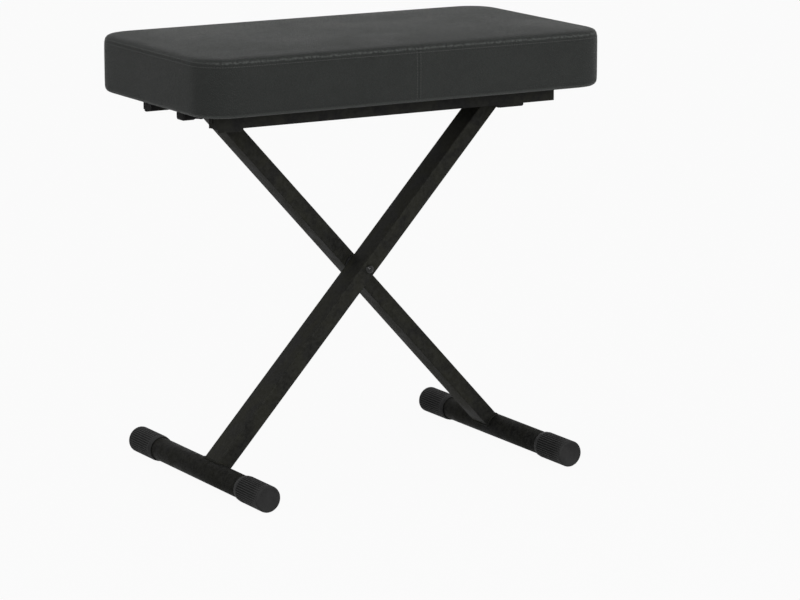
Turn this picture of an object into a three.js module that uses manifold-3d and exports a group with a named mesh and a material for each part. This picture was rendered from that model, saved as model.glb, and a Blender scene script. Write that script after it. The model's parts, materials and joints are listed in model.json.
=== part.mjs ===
// Folding keyboard bench: a padded seat on two rails, carried by two tube legs that cross like an X.
// Millimetres, +Z up, X along the seat, Y to the rear. The origin lies on the floor under the middle of the seat.
import * as THREE from "three";
import { mergeVertices } from "three/addons/utils/BufferGeometryUtils.js";
import Module from "manifold-3d";

const wasm = await Module();
wasm.setup();

// Seat cushion: its top height is taken along the edges, and the crown stands above it
const seatLength = 600;
const seatWidth = 321;
const seatTopHeight = 579.6;
const cushionThickness = 76;
const cushionCornerRadius = 45;
const cushionEdgeRadius = 12;
const cushionBottomRadius = 8;
const crownHeight = 4;
const sideBulge = 1.6;
const coverThickness = 1.2;
const coverLipWidth = 24;
const boardThickness = 12;
const softClearance = 0.4;

// Rails under the seat: inverted channels with ears that hang below the outer flange
const railLeftInset = 45.4;
const railRightInset = 51.8;
const railSideInset = 56.9;
const railWidth = 22.5;
const railHeight = 23.4;
const railWall = 2;
const railBendRadius = 3;
const earDepth = 3.7;
const earRadius = 2.5;
const leftEarInset = 1.4;
const leftEarLength = 36;
const rightEarInset = 47.8;
const rightEarLength = 38.4;

// Crossing legs: the feet stand apart by a share of the seat's length, and the legs cross at a share of
// the pivot's height
const footSpanShare = 0.76;
const crossingShare = 0.5458248;
const pivotDepth = 13.8;
const legWidth = 39.8;
const legThickness = 20.7;
const legWall = 1.6;
const legCornerRadius = 2;
const legGap = 4;
const legPairOffset = 2.4;

// Feet
const footTubeRadius = 15.5;
const footTubeWall = 1.6;
const footLength = 364.6;
const capRadius = 17.65;
const capLength = 64;
const capEndWall = 6;
const capTaperLength = 5;
const capRimWall = 0.9;
const capChamfer = 1.8;
const ribDepth = 0.7;
const ribCount = 36;
const ribCrestShare = 0.5;

// Cross tubes at the tops of the legs
const crossTubeRadius = 10.5;
const crossTubeWall = 2;
const crossTubeSideGap = 2.1;
const bushFlangeRadius = 9.9;
const bushFlangeThickness = 1.5;
const bushDepth = 12;
const bufferRadius = 6.5;
const bufferLength = 15;
const bufferSpread = 114;
const bufferDomeRadius = 4;

// Pivot bolt, notch rod and the notches they fit
const pivotBoltRadius = 4;
const notchRodRadius = 4;
const notchRodReach = 10.5;
const notchRodChamfer = 0.8;
const notchCount = 3;
const notchPitchShare = 0.42;
const notchRadius = 4.6;
const notchLift = 0.5;
const notchStopGap = 1;
const holeClearance = 0.3;
const fitGap = 0.3;

// Fasteners
const centreBoltRadius = 4;
const domeHeadRadius = 6;
const domeHeadHeight = 3.2;
const hexHeadAcrossFlats = 13;
const hexHeadHeight = 5.3;
const nutHeight = 8;
const nutAcrossFlats = 13;
const boltRunOut = 2.4;
const washerRadius = 8;
const washerThickness = 1.6;
const spacerRadius = 12;
const screwHeadRadius = 4.6;
const screwHeadHeight = 3;
const screwRadius = 2.2;
const screwGrip = 10;
const screwsPerRail = 4;
const screwEndInset = 32;

// Rubber block that the folded foot lands on
const blockLength = 27.6;
const blockWidth = 21.8;
const blockHeight = 23.6;
const blockTongueLength = 11.5;
const blockTongueHeight = 9;
const blockRadius = 3.5;
const blockStepRadius = 1.5;
const blockScrewSpacing = 14;
const blockCounterboreRadius = 5.2;
const blockSeatThickness = 6;

// Facets
const roundSegments = 40;
const smallSegments = 20;
const screwSegments = 12;
const cornerSegments = 6;
const cutOverrun = 2;

// Places that follow from the sizes above
const cushionBottom = seatTopHeight - cushionThickness;
const boardBottom = cushionBottom + coverThickness + fitGap;
const boardTop = boardBottom + boardThickness;
const railTop = boardBottom - fitGap;
const railBottomHeight = railTop - railHeight;
const railLeftEnd = seatLength / 2 - railLeftInset;
const railRightEnd = seatLength / 2 - railRightInset;
const railOuterY = seatWidth / 2 - railSideInset;
const railInnerY = railOuterY - railWidth;
const railCentreY = (railOuterY + railInnerY) / 2;
const leftEarStart = railLeftEnd - leftEarInset;
const rightEarEnd = railRightEnd - rightEarInset;
const blockBottomHeight = railTop - blockHeight;
const footSpan = footSpanShare * seatLength;
const pivotHeight = railTop - pivotDepth;
const crossingHeight = crossingShare * pivotHeight;
const legAngle = Math.atan2(crossingHeight - capRadius, footSpan / 2);
const lowerArm = Math.hypot(crossingHeight - capRadius, footSpan / 2);
const upperArm = (pivotHeight - crossingHeight) / Math.sin(legAngle);
const pivotX = upperArm * Math.cos(legAngle);
const crossTubeLength = 2 * (railInnerY - crossTubeSideGap);
const notchRodLength = crossTubeLength + 2 * notchRodReach;
const notchPitch = notchPitchShare * (railRightEnd - pivotX);
const frontLegY = -legPairOffset - (legGap + legWidth) / 2;
const rearLegY = -legPairOffset + (legGap + legWidth) / 2;

const steel = new THREE.MeshStandardMaterial({ color: 0x242422, roughness: 0.5, metalness: 0.6 });
const zinc = new THREE.MeshStandardMaterial({ color: 0xb9bcc0, roughness: 0.3, metalness: 1 });
const rubber = new THREE.MeshStandardMaterial({ color: 0x2b2b2a, roughness: 0.85, metalness: 0 });
const leatherette = new THREE.MeshStandardMaterial({ color: 0x343634, roughness: 0.55, metalness: 0 });
const foam = new THREE.MeshStandardMaterial({ color: 0xc9c3a8, roughness: 0.95, metalness: 0 });
const plywood = new THREE.MeshStandardMaterial({ color: 0xa98559, roughness: 0.8, metalness: 0 });
const nylon = new THREE.MeshStandardMaterial({ color: 0x1c1c1c, roughness: 0.6, metalness: 0 });

// Solids, joins and cuts

function signedVolume(geometry) {
  const p = geometry.getAttribute("position");
  const index = geometry.getIndex();
  const [a, b, c] = [new THREE.Vector3(), new THREE.Vector3(), new THREE.Vector3()];
  let sum = 0;
  for (let i = 0; i < index.count; i += 3) {
    a.fromBufferAttribute(p, index.getX(i));
    b.fromBufferAttribute(p, index.getX(i + 1));
    c.fromBufferAttribute(p, index.getX(i + 2));
    sum += a.dot(b.cross(c));
  }
  return sum;
}

// Keeps the positions alone, joins shared vertices and turns the faces outward.
function closed(geometry) {
  const bare = geometry.clone();
  for (const name of Object.keys(bare.attributes)) {
    if (name !== "position") {
      bare.deleteAttribute(name);
    }
  }
  const merged = mergeVertices(bare);
  if (signedVolume(merged) < 0) {
    const index = merged.getIndex();
    for (let i = 0; i < index.count; i += 3) {
      const second = index.getX(i + 1);
      index.setX(i + 1, index.getX(i + 2));
      index.setX(i + 2, second);
    }
  }
  return merged;
}

function solid(geometry) {
  const merged = closed(geometry);
  const mesh = new wasm.Mesh({
    numProp: 3,
    vertProperties: new Float32Array(merged.getAttribute("position").array),
    triVerts: new Uint32Array(merged.getIndex().array),
  });
  return new wasm.Manifold(mesh);
}

function geometryOf(body) {
  const mesh = body.getMesh();
  const geometry = new THREE.BufferGeometry();
  geometry.setAttribute("position", new THREE.BufferAttribute(new Float32Array(mesh.vertProperties), 3));
  geometry.setIndex(new THREE.BufferAttribute(new Uint32Array(mesh.triVerts), 1));
  return geometry;
}

function cut(base, ...tools) {
  let body = solid(base);
  for (const tool of tools) {
    body = body.subtract(solid(tool));
  }
  return geometryOf(body);
}

function join(base, ...additions) {
  let body = solid(base);
  for (const addition of additions) {
    body = body.add(solid(addition));
  }
  return geometryOf(body);
}

function piece(name, geometry, material, parent, place = [0, 0, 0]) {
  const shown = closed(geometry).toNonIndexed();
  shown.computeVertexNormals();
  const mesh = new THREE.Mesh(shown, material);
  mesh.name = name;
  mesh.position.set(...place);
  parent.add(mesh);
  return mesh;
}

// Basic forms

function roundedRect(width, height, radius) {
  const [x, y, r] = [width / 2, height / 2, radius];
  const shape = new THREE.Shape();
  shape.absarc(x - r, -y + r, r, -Math.PI / 2, 0);
  shape.absarc(x - r, y - r, r, 0, Math.PI / 2);
  shape.absarc(-x + r, y - r, r, Math.PI / 2, Math.PI);
  shape.absarc(-x + r, -y + r, r, Math.PI, 1.5 * Math.PI);
  return shape;
}

function polygon(points) {
  return new THREE.Shape(points.map(([x, y]) => new THREE.Vector2(x, y)));
}

function extrude(shape, depth, curveSegments = cornerSegments) {
  return new THREE.ExtrudeGeometry(shape, { depth, bevelEnabled: false, curveSegments });
}

// A section drawn in Y and Z, run along X from start to end.
function alongX(shape, start, end, curveSegments) {
  const geometry = extrude(shape, end - start, curveSegments);
  const axes = [new THREE.Vector3(0, 1, 0), new THREE.Vector3(0, 0, 1), new THREE.Vector3(1, 0, 0)];
  geometry.applyMatrix4(new THREE.Matrix4().makeBasis(...axes));
  return geometry.translate(start, 0, 0);
}

// An outline drawn in X and Z, run along Y from front to back.
function alongY(shape, front, back, curveSegments) {
  const geometry = extrude(shape, back - front, curveSegments);
  const axes = [new THREE.Vector3(1, 0, 0), new THREE.Vector3(0, 0, 1), new THREE.Vector3(0, -1, 0)];
  geometry.applyMatrix4(new THREE.Matrix4().makeBasis(...axes));
  return geometry.translate(0, back, 0);
}

// A profile of [radius, height] pairs turned about Y.
function turned(profile, segments = roundSegments) {
  return new THREE.LatheGeometry(profile.map(([r, y]) => new THREE.Vector2(r, y)), segments);
}

function rodAlongY(radius, front, back, segments = roundSegments) {
  return turned([[0, front], [radius, front], [radius, back], [0, back]], segments);
}

function tubeAlongY(radius, wall, front, back, segments = roundSegments) {
  const bore = radius - wall;
  return turned([[bore, front], [radius, front], [radius, back], [bore, back], [bore, front]], segments);
}

function hexagon(acrossFlats) {
  const corner = acrossFlats / Math.sqrt(3);
  const angles = Array.from({ length: 6 }, (_, i) => (i * Math.PI) / 3);
  return polygon(angles.map((angle) => [corner * Math.cos(angle), corner * Math.sin(angle)]));
}

function roundHole(radius) {
  return new THREE.Path().absarc(0, 0, radius, 0, 2 * Math.PI, true);
}

// Rings of points, each with the same count, skinned from the first to the last and closed at both poles.
function skinned(rings, firstPole, lastPole) {
  const count = rings[0].length;
  const points = [firstPole, ...rings.flat(), lastPole];
  const last = points.length - 1;
  const index = [];
  for (let i = 0; i < count; i += 1) {
    const next = (i + 1) % count;
    index.push(0, 1 + i, 1 + next);
    for (let k = 0; k + 1 < rings.length; k += 1) {
      const here = 1 + k * count;
      const below = here + count;
      index.push(here + i, below + i, below + next, here + i, below + next, here + next);
    }
    const base = 1 + (rings.length - 1) * count;
    index.push(base + i, last, base + next);
  }
  const geometry = new THREE.BufferGeometry().setFromPoints(points);
  geometry.setIndex(index);
  return geometry;
}

// Soft seat

const longSideShares = [0.2, 0.4, 0.6, 0.8];
const shortSideShares = [0.33, 0.67];

// The outline of the cushion, drawn in from its edge by the inset, at one height.
function cushionRing(inset, heightAt) {
  const [x, y] = [seatLength / 2 - inset, seatWidth / 2 - inset];
  const radius = Math.max(cushionCornerRadius - inset, cushionCornerRadius * cornerShareLeft(inset));
  const r = Math.min(radius, y);
  const corners = [[1, -1, -Math.PI / 2], [1, 1, 0], [-1, 1, Math.PI / 2], [-1, -1, Math.PI]];
  const ring = [];
  corners.forEach(([sx, sy, from], k) => {
    for (let i = 0; i <= cornerSegments; i += 1) {
      const angle = from + (i / cornerSegments) * (Math.PI / 2);
      ring.push([sx * (x - r) + r * Math.cos(angle), sy * (y - r) + r * Math.sin(angle)]);
    }
    const [nx, ny] = corners[(k + 1) % corners.length];
    const start = ring[ring.length - 1];
    const end = k % 2 === 0 ? [start[0], ny * (y - r)] : [nx * (x - r), start[1]];
    for (const share of k % 2 === 0 ? shortSideShares : longSideShares) {
      ring.push([start[0] + share * (end[0] - start[0]), start[1] + share * (end[1] - start[1])]);
    }
  });
  return ring.map(([px, py]) => new THREE.Vector3(px, py, heightAt(px, py)));
}

// Rings far inside the edge keep a small part of the corner radius.
function cornerShareLeft(inset) {
  return 0.15 * Math.max(0, 1 - (2 * inset) / seatWidth);
}

// The crown falls away towards every edge.
function crown(x, y) {
  const u = Math.cos((Math.PI * x) / seatLength);
  const v = Math.cos((Math.PI * y) / seatWidth);
  return crownHeight * Math.pow(Math.max(u, 0), 0.5) * Math.max(v, 0);
}

const crownInsetShares = [0.93, 0.62, 0.36, 0.17];

// The upper skin of the cushion or of the foam in it, from the middle of the top down to its side.
function paddedTop(shrink) {
  const top = seatTopHeight - shrink;
  const radius = cushionEdgeRadius - Math.min(shrink, cushionEdgeRadius / 2);
  const rings = crownInsetShares.map((share) =>
    cushionRing(shrink + (share * seatWidth) / 2, (x, y) => top + crown(x, y)));
  const arcSteps = 4;
  for (let i = 0; i <= arcSteps; i += 1) {
    const angle = (i / arcSteps) * (Math.PI / 2);
    const inset = shrink + sideBulge / 2 + radius * (1 - Math.sin(angle));
    const drop = radius * (1 - Math.cos(angle));
    rings.push(cushionRing(inset, (x, y) => top + crown(x, y) * (1 - i / arcSteps) - drop));
  }
  return rings;
}

const sideRings = [[0.42, 0], [0.14, 0.5]];

function seatCover() {
  const side = sideRings.map(([share, bulge]) =>
    cushionRing(bulge * sideBulge, () => cushionBottom + share * cushionThickness));
  const bottom = [0.25, 0.5, 0.75, 1].map((share) => {
    const angle = (share * Math.PI) / 2;
    const inset = sideBulge / 2 + cushionBottomRadius * (1 - Math.cos(angle));
    return cushionRing(inset, () => cushionBottom + cushionBottomRadius * (1 - Math.sin(angle)));
  });
  const wall = coverThickness + sideBulge / 2;
  const lip = [
    cushionRing(coverLipWidth, () => cushionBottom),
    cushionRing(coverLipWidth, () => cushionBottom + coverThickness),
    cushionRing(wall + cushionBottomRadius / 2, () => cushionBottom + coverThickness),
    cushionRing(wall, () => cushionBottom + coverThickness + cushionBottomRadius / 2),
  ];
  const inside = paddedTop(coverThickness).reverse();
  const rings = [...paddedTop(0), ...side, ...bottom, ...lip, ...inside];
  const pole = new THREE.Vector3(0, 0, seatTopHeight + crownHeight);
  return skinned(rings, pole, pole.clone().setZ(pole.z - coverThickness));
}

function foamCore() {
  const shrink = coverThickness + softClearance;
  const base = boardTop + fitGap;
  const inset = shrink + sideBulge / 2;
  const rings = [...paddedTop(shrink), cushionRing(inset, () => base)];
  const top = new THREE.Vector3(0, 0, seatTopHeight + crownHeight - shrink);
  return skinned(rings, top, new THREE.Vector3(0, 0, base));
}

function seatBoard(screwPlaces) {
  const inset = coverThickness + softClearance + sideBulge / 2 + cushionBottomRadius / 2;
  const [length, width] = [seatLength - 2 * inset, seatWidth - 2 * inset];
  const shape = roundedRect(length, width, cushionCornerRadius - inset);
  for (const [x, y] of screwPlaces) {
    const hole = new THREE.Path();
    hole.absarc(x, y, screwRadius + holeClearance, 0, 2 * Math.PI, true);
    shape.holes.push(hole);
  }
  return extrude(shape, boardThickness);
}

// Rails

function notchPlaces() {
  return Array.from({ length: notchCount }, (_, i) => pivotX + i * notchPitch);
}

// The open path of the notch rod through the inner flange, with a notch above it at each height of the seat.
function notchCutter(front, back) {
  const lip = pivotHeight + notchRodRadius + notchLift;
  const start = pivotX - notchRodRadius - notchStopGap;
  const end = railRightEnd + cutOverrun;
  const low = railBottomHeight - earDepth - cutOverrun;
  const shape = new THREE.Shape();
  shape.moveTo(start, low);
  shape.lineTo(end, low);
  shape.lineTo(end, lip);
  for (const x of notchPlaces().reverse()) {
    shape.lineTo(x + notchRadius, lip);
    shape.absarc(x, lip, notchRadius, 0, Math.PI);
  }
  shape.lineTo(start, lip);
  shape.lineTo(start, low);
  return alongY(shape, front, back, smallSegments / 2);
}

function channelSection(side) {
  const [outer, inner] = [(side * railWidth) / 2, (side * (railWidth - 2 * railWall)) / 2];
  const [top, r] = [railTop, railBendRadius];
  const bend = r / Math.SQRT2;
  const corner = r - bend;
  return polygon([
    [-outer, railBottomHeight],
    [-inner, railBottomHeight],
    [-inner, top - railWall],
    [inner, top - railWall],
    [inner, railBottomHeight],
    [outer, railBottomHeight],
    [outer, top - r],
    [outer - side * corner, top - corner],
    [outer - side * r, top],
    [-outer + side * r, top],
    [-outer + side * corner, top - corner],
    [-outer, top - r],
  ]);
}

function ear(from, to, front, back) {
  const length = to - from;
  const height = earDepth + earRadius + railWall;
  const shape = roundedRect(length, height, earRadius);
  const geometry = alongY(shape, front, back);
  return geometry.translate((from + to) / 2, 0, railBottomHeight - earDepth + height / 2);
}

function rail(side) {
  const channel = alongX(channelSection(side), -railLeftEnd, railRightEnd).translate(0, side * railCentreY, 0);
  const outerFace = side * railOuterY;
  const earFaces = [outerFace - side * railWall, outerFace].sort((a, b) => a - b);
  const innerFaces = [side * railInnerY, side * (railInnerY + railWall)].sort((a, b) => a - b);
  const [front, back] = [innerFaces[0] - cutOverrun, innerFaces[1] + cutOverrun];
  const pivotHole = rodAlongY(pivotBoltRadius + holeClearance, front, back, smallSegments);
  const screwHoles = railScrewPlaces(side).map(([x, y]) => {
    const hole = extrude(new THREE.Shape().absarc(0, 0, screwRadius + holeClearance, 0, 2 * Math.PI),
      railWall + 2 * cutOverrun, smallSegments / 2);
    return hole.translate(x, y, railTop - railWall - cutOverrun);
  });
  const eared = join(
    channel,
    ear(-leftEarStart, leftEarLength - leftEarStart, ...earFaces),
    ear(rightEarEnd - rightEarLength, rightEarEnd, ...earFaces),
  );
  return cut(eared, notchCutter(front, back), pivotHole.translate(-pivotX, 0, pivotHeight), ...screwHoles);
}

function railScrewPlaces(side) {
  const start = -railLeftEnd + screwEndInset;
  const step = (railLeftEnd + railRightEnd - 2 * screwEndInset) / (screwsPerRail - 1);
  return Array.from({ length: screwsPerRail }, (_, i) => [start + i * step, side * railCentreY]);
}

// Legs: drawn along X from the foot to the top, with the crossing bolt at the origin

function legTube() {
  const section = roundedRect(legWidth, legThickness, legCornerRadius);
  section.holes.push(roundedRect(legWidth - 2 * legWall, legThickness - 2 * legWall, legCornerRadius - legWall));
  const blank = alongX(section, -lowerArm, upperArm, 3);
  const half = legWidth / 2 + cutOverrun;
  const saddle = rodAlongY(footTubeRadius + fitGap, -half, half).translate(-lowerArm, 0, 0);
  const crown = rodAlongY(crossTubeRadius + fitGap, -half, half).translate(upperArm, 0, 0);
  const boltHole = rodAlongY(centreBoltRadius + holeClearance, -half, half, smallSegments);
  return cut(blank, saddle, crown, boltHole);
}

function crossTube() {
  return tubeAlongY(crossTubeRadius, crossTubeWall, -crossTubeLength / 2, crossTubeLength / 2);
}

// A flanged bush that plugs the end of a cross tube. The profile runs from its inner end to its flange.
function endBush(boreRadius) {
  const bore = boreRadius + holeClearance;
  const body = crossTubeRadius - crossTubeWall - fitGap;
  const seat = crossTubeLength / 2 + fitGap / 2;
  const profile = [
    [bore, seat - bushDepth],
    [body, seat - bushDepth],
    [body, seat],
    [bushFlangeRadius, seat],
    [bushFlangeRadius, seat + bushFlangeThickness],
    [bore, seat + bushFlangeThickness],
    [bore, seat - bushDepth],
  ];
  return turned(profile, smallSegments);
}

function notchRod() {
  const [half, r, c] = [notchRodLength / 2, notchRodRadius, notchRodChamfer];
  return turned([[0, -half], [r - c, -half], [r, -half + c], [r, half - c], [r - c, half], [0, half]], smallSegments);
}

// A rubber buffer under the cross tube: a domed post whose root is hollowed to sit on the tube.
function buffer() {
  const root = -crossTubeRadius / 2;
  const tip = -crossTubeRadius - bufferLength;
  const dome = bufferDomeRadius * (1 - Math.SQRT1_2);
  const profile = [
    [0, tip],
    [bufferRadius - bufferDomeRadius, tip],
    [bufferRadius - dome, tip + dome],
    [bufferRadius, tip + bufferDomeRadius],
    [bufferRadius, root],
    [0, root],
  ];
  const post = turned(profile, smallSegments).rotateZ(-Math.PI / 2);
  return cut(post, rodAlongY(crossTubeRadius + fitGap, -bufferRadius - cutOverrun, bufferRadius + cutOverrun));
}

// Feet

// One ring of the cap: a round where the depth is zero, and a row of flat-topped ribs elsewhere.
function capRing(radius, depth, y) {
  const pitch = (2 * Math.PI) / ribCount;
  const crest = (pitch * ribCrestShare) / 2;
  const corner = radius / Math.cos(crest);
  const hollow = radius - depth;
  const ring = [];
  for (let i = 0; i < ribCount; i += 1) {
    const middle = -Math.PI / 2 + i * pitch;
    for (const [turn, r] of [[-crest, corner], [crest, corner], [pitch / 2, hollow]]) {
      const angle = middle + turn;
      ring.push(new THREE.Vector3(r * Math.cos(angle), y, r * Math.sin(angle)));
    }
  }
  return ring;
}

// The end cap of a foot, with its closed face at y = 0 and its mouth at y = capLength.
function footCap() {
  const rim = footTubeRadius + fitGap + capRimWall;
  const rings = [
    capRing(capRadius - capChamfer, 0, 0),
    capRing(capRadius, ribDepth, capChamfer),
    capRing(capRadius, ribDepth, capLength - capTaperLength),
    capRing(rim, 0, capLength - capTaperLength / 2),
    capRing(rim, 0, capLength),
  ];
  const shell = skinned(rings, new THREE.Vector3(0, 0, 0), new THREE.Vector3(0, capLength, 0));
  return cut(shell, rodAlongY(footTubeRadius + fitGap, capEndWall, capLength + cutOverrun));
}

function footTube() {
  const half = footLength / 2 - capEndWall - fitGap;
  return tubeAlongY(footTubeRadius, footTubeWall, -half, half);
}

function addFoot(name, x, parent) {
  const foot = new THREE.Group();
  foot.position.set(x, 0, capRadius);
  parent.add(foot);
  piece(`${name}_foot_tube`, footTube(), steel, foot);
  piece(`${name}_cap_front`, footCap(), rubber, foot, [0, -footLength / 2, 0]);
  piece(`${name}_cap_rear`, footCap().rotateZ(Math.PI), rubber, foot, [0, footLength / 2, 0]);
}

// Fasteners along Y, each with its bearing face at y = 0 and its head towards -Y

function washer(boltRadius) {
  const bore = boltRadius + holeClearance;
  return tubeAlongY(washerRadius, washerRadius - bore, 0, washerThickness, smallSegments);
}

function nut(boltRadius) {
  const shape = hexagon(nutAcrossFlats);
  shape.holes.push(roundHole(boltRadius + holeClearance));
  return alongY(shape, 0, nutHeight, smallSegments / 2);
}

function hexBolt(radius, length) {
  const shank = rodAlongY(radius, -hexHeadHeight / 2, length, smallSegments);
  return join(alongY(hexagon(hexHeadAcrossFlats), -hexHeadHeight, 0), shank);
}

function domeBolt(radius, length) {
  const [head, tall] = [domeHeadRadius, domeHeadHeight];
  const profile = [[0, -tall]];
  for (const share of [0.35, 0.65, 0.88]) {
    profile.push([head * share, -tall * Math.sqrt(1 - share * share)]);
  }
  profile.push([head, 0], [radius, 0], [radius, length], [0, length]);
  return turned(profile, 2 * smallSegments);
}

function panScrew() {
  const [head, tall] = [screwHeadRadius, screwHeadHeight];
  const tip = screwGrip - screwRadius;
  const profile = [
    [0, -tall],
    [head / 2, -tall],
    [head * 0.85, -tall * 0.7],
    [head, 0],
    [screwRadius, 0],
    [screwRadius, tip],
    [0, screwGrip],
  ];
  return turned(profile, screwSegments).rotateX(Math.PI / 2);
}

// Stop block under the left end of the seat: full height behind, and a low tongue at its end

function blockScrewPlaces() {
  const x = -railLeftEnd + (blockLength + blockTongueLength) / 2;
  return [-1, 1].map((side) => [x, -legPairOffset + (side * blockScrewSpacing) / 2]);
}

function stopBlock() {
  const section = roundedRect(blockWidth, blockHeight, blockRadius);
  const middle = [-legPairOffset, blockBottomHeight + blockHeight / 2];
  const body = alongX(section, -railLeftEnd, -railLeftEnd + blockLength).translate(0, ...middle);
  const holes = blockScrewPlaces().flatMap(([x, y]) => {
    const bore = new THREE.Shape().absarc(0, 0, screwRadius + holeClearance, 0, 2 * Math.PI);
    const well = new THREE.Shape().absarc(0, 0, blockCounterboreRadius, 0, 2 * Math.PI);
    const wellDepth = blockHeight - blockSeatThickness;
    return [
      extrude(bore, blockHeight + 2 * cutOverrun, smallSegments / 2).translate(x, y, blockBottomHeight - cutOverrun),
      extrude(well, wellDepth + cutOverrun, smallSegments / 2).translate(x, y, blockBottomHeight - cutOverrun),
    ];
  });
  const [step, overrun] = [-railLeftEnd + blockTongueLength, 2 * cutOverrun];
  const above = roundedRect(blockTongueLength + overrun, blockHeight, blockStepRadius);
  const notch = alongY(above, -legPairOffset - blockWidth, -legPairOffset + blockWidth)
    .translate(step - (blockTongueLength + overrun) / 2, 0, blockBottomHeight + blockTongueHeight + blockHeight / 2);
  return cut(body, notch, ...holes);
}

// Assembly

const bench = new THREE.Group();

const rearFrame = new THREE.Group();
rearFrame.position.set(0, rearLegY, crossingHeight);
rearFrame.rotation.y = legAngle - Math.PI;
bench.add(rearFrame);
piece("rear_leg", legTube(), steel, rearFrame);
addFoot("rear_leg", footSpan / 2, bench);

const frontFrame = new THREE.Group();
frontFrame.position.set(0, frontLegY, crossingHeight);
frontFrame.rotation.y = -legAngle;
bench.add(frontFrame);
piece("front_leg", legTube(), steel, frontFrame);
addFoot("front_leg", -footSpan / 2, bench);

// The seat pivot at the top of the rear leg
const pivot = new THREE.Group();
pivot.position.set(-pivotX, 0, pivotHeight);
bench.add(pivot);
piece("rear_leg_cross_tube", crossTube(), steel, pivot);
piece("pivot_bush_rear", endBush(pivotBoltRadius), nylon, pivot);
piece("pivot_bush_front", endBush(pivotBoltRadius).rotateZ(Math.PI), nylon, pivot);
const pivotWasherY = railInnerY + railWall + fitGap;
const pivotBearingY = pivotWasherY + washerThickness + fitGap;
const pivotBoltLength = 2 * pivotBearingY + nutHeight + boltRunOut;
piece("pivot_bolt", hexBolt(pivotBoltRadius, pivotBoltLength), zinc, pivot, [0, -pivotBearingY, 0]);
piece("pivot_washer_front", washer(pivotBoltRadius), zinc, pivot, [0, -pivotWasherY - washerThickness, 0]);
piece("pivot_washer_rear", washer(pivotBoltRadius), zinc, pivot, [0, pivotWasherY, 0]);
piece("pivot_nut", nut(pivotBoltRadius), zinc, pivot, [0, pivotBearingY, 0]);

// The notch rod at the top of the front leg
const notch = new THREE.Group();
notch.position.set(pivotX, 0, pivotHeight);
bench.add(notch);
piece("front_leg_cross_tube", crossTube(), zinc, notch);
piece("notch_rod", notchRod(), zinc, notch);
piece("rod_bush_rear", endBush(notchRodRadius), nylon, notch);
piece("rod_bush_front", endBush(notchRodRadius).rotateZ(Math.PI), nylon, notch);
for (const [name, side] of [["front", -1], ["rear", 1]]) {
  const post = piece(`buffer_${name}`, buffer(), rubber, notch, [0, (side * bufferSpread) / 2, 0]);
  post.rotation.y = -legAngle;
}

// The bolt through the crossing
const crossing = new THREE.Group();
crossing.position.set(0, -legPairOffset, crossingHeight);
bench.add(crossing);
const legFaceY = legGap / 2 + legWidth + fitGap;
const centreNutY = legFaceY + washerThickness + fitGap;
const centreBoltLength = legFaceY + centreNutY + nutHeight + boltRunOut;
const spacer = tubeAlongY(spacerRadius, spacerRadius - centreBoltRadius - holeClearance,
  -legGap / 2 + fitGap, legGap / 2 - fitGap, smallSegments);
piece("centre_bolt", domeBolt(centreBoltRadius, centreBoltLength), zinc, crossing, [0, -legFaceY, 0]);
piece("leg_spacer", spacer, nylon, crossing);
piece("centre_washer", washer(centreBoltRadius), zinc, crossing, [0, legFaceY, 0]);
piece("centre_nut", nut(centreBoltRadius), zinc, crossing, [0, centreNutY, 0]);

// The seat
const screwPlaces = [...railScrewPlaces(-1), ...railScrewPlaces(1)];
piece("front_rail", rail(-1), steel, bench);
piece("rear_rail", rail(1), steel, bench);
screwPlaces.forEach(([x, y], i) => {
  piece(`rail_screw_${i + 1}`, panScrew(), zinc, bench, [x, y, railTop - railWall - fitGap]);
});
piece("stop_block", stopBlock(), rubber, bench);
blockScrewPlaces().forEach(([x, y], i) => {
  piece(`block_screw_${i + 1}`, panScrew(), zinc, bench, [x, y, railTop - blockSeatThickness - fitGap]);
});
piece("seat_board", seatBoard([...screwPlaces, ...blockScrewPlaces()]), plywood, bench, [0, 0, boardBottom]);
piece("foam_core", foamCore(), foam, bench);
piece("seat_cover", seatCover(), leatherette, bench);

export default bench;
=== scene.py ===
"""A folding keyboard bench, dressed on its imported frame: a stitched leatherette cushion on black steelwork."""

import json
import math
from contextlib import contextmanager
from functools import cache

import bmesh
import bpy
from bpy.props import FloatProperty, FloatVectorProperty, IntProperty, PointerProperty
from mathutils import Matrix, Vector
from mathutils.bvhtree import BVHTree


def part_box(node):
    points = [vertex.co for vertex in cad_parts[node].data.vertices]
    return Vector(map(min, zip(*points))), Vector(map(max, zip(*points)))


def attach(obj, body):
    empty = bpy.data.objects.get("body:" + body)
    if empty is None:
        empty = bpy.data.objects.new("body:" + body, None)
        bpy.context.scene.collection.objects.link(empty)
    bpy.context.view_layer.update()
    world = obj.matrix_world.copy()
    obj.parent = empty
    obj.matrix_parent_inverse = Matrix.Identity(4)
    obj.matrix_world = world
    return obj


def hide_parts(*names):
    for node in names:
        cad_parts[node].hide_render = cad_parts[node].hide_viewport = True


bl_info = {
    "name": "Folding Keyboard Bench",
    "version": (1, 0, 0),
    "blender": (4, 5, 0),
    "location": "View3D > Sidebar > Bench",
    "description": "Builds the cushion, steelwork, caps and fastenings of a folding keyboard bench",
    "category": "Object",
}

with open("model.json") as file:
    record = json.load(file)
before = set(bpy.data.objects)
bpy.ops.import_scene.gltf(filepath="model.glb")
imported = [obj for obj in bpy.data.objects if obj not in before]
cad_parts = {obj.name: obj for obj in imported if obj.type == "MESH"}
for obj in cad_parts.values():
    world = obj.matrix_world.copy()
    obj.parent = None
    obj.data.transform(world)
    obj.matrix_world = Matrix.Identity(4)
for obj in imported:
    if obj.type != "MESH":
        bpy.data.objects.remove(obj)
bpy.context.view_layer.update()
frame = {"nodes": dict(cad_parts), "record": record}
SLOTS = {row["node"]: row["material_slot"] for row in frame["record"]["subparts"]}

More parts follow.
